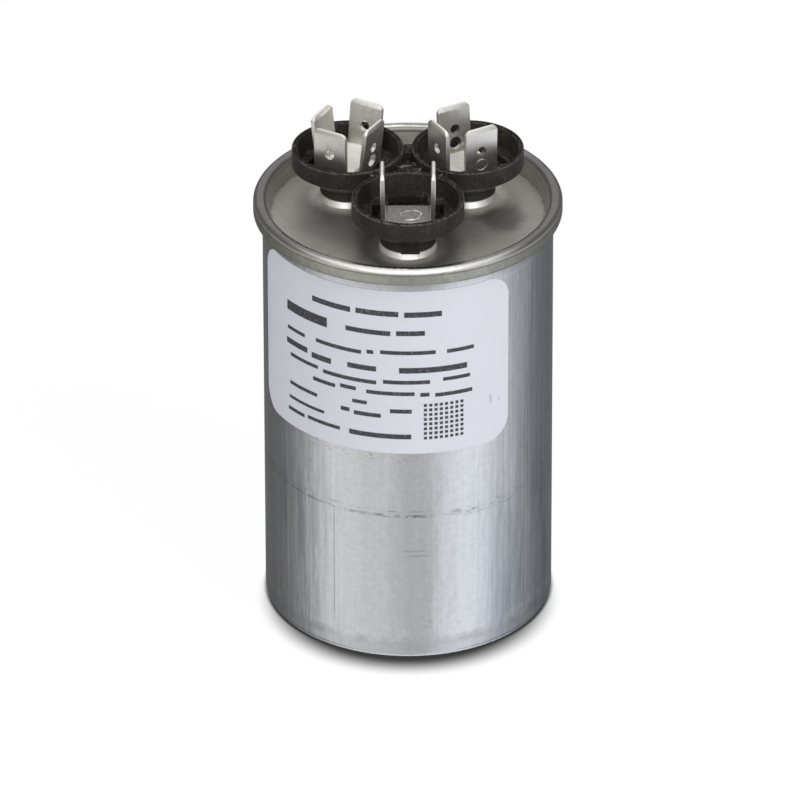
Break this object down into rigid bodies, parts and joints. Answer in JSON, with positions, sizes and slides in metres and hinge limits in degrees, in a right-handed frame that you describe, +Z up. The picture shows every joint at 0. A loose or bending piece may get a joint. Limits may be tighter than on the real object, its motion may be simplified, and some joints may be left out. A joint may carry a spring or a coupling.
{
  "type": "round dual-run motor capacitor",
  "caption": "Round dual-run motor capacitor: drawn aluminium can with a pale label, seamed metal lid and black terminal cups with bright quick-connect tabs.",
  "frame": {"origin": "centre of the can's base", "axes": "+Z up along the can's axis; the fan cup and the middle of the view face -Y"},
  "size_m": [0.054, 0.054, 0.0916],
  "materials": {
    "can_aluminium": "satin drawn aluminium with fine vertical streaks",
    "lid_tinplate": "satin tin plate with a warm tint",
    "gasket_rubber": "matte sealing compound",
    "block_plastic": "black moulded plastic, slightly glossy and dusty",
    "label_film": "pale semi-matte label film",
    "tab_tin": "bright tin plate",
    "stud_steel": "plated steel",
    "seal_rubber": "moulded rubber",
    "washer_board": "pressed insulating board",
    "lead_copper": "tinned copper strip",
    "disc_board": "hard brown board",
    "liner_plastic": "natural plastic liner",
    "winding_film": "wound metallised film",
    "spray_zinc": "sprayed zinc"
  },
  "bodies": {
    "root": {"can": "can_aluminium", "lid": "lid_tinplate", "seam_gasket": "gasket_rubber", "terminal_block": "block_plastic", "label": "label_film", "common_stud": "stud_steel", "compressor_stud": "stud_steel", "fan_stud": "stud_steel", "common_seal": "seal_rubber", "compressor_seal": "seal_rubber", "fan_seal": "seal_rubber", "common_washer": "washer_board", "compressor_washer": "washer_board", "fan_washer": "washer_board", "common_short_bracket": "tab_tin", "common_long_bracket": "tab_tin", "compressor_short_bracket": "tab_tin", "compressor_single_tab": "tab_tin", "fan_bracket": "tab_tin", "common_lead": "lead_copper", "compressor_lead": "lead_copper", "fan_lead": "lead_copper", "interrupter_disc": "disc_board", "insulating_sleeve": "liner_plastic", "base_insulator": "liner_plastic", "inner_winding": "winding_film", "outer_winding": "winding_film", "winding_barrier": "liner_plastic", "winding_core": "liner_plastic", "inner_end_spray": "spray_zinc", "outer_end_spray": "spray_zinc", "base_end_spray": "spray_zinc"}
  },
  "joints": []
}
